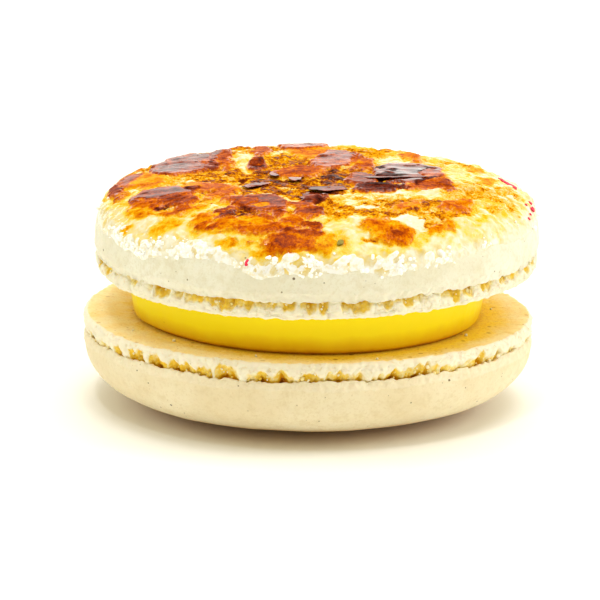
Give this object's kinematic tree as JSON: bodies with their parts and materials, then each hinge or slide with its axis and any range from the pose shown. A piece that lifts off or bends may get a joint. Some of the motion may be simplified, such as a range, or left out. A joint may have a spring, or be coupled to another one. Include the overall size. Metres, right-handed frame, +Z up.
{
  "type": "french macaron with a burnt-sugar crust",
  "caption": "French macaron: two cream-coloured almond shells with ruffled feet, a disc of yellow cream between them, and a crust of burnt sugar on the top shell.",
  "frame": {"origin": "centre of the small flat spot under the bottom shell's dome, which the macaron rests on", "axes": "+Z up through the stack, -Y towards the side that the top shell leans to, +X to the right"},
  "size_m": [0.0465, 0.0448, 0.0239],
  "materials": {
    "baked_shell": "matt, smooth baked almond meringue, porous at the foot",
    "yellow_cream": "smooth, semi-matt custard cream",
    "caramel_top": "cream-coloured baked shell under glossy burnt sugar, amber to dark red-brown"
  },
  "bodies": {
    "root": {"bottom_shell": "baked_shell", "filling": "yellow_cream", "top_shell": "caramel_top"}
  },
  "joints": []
}
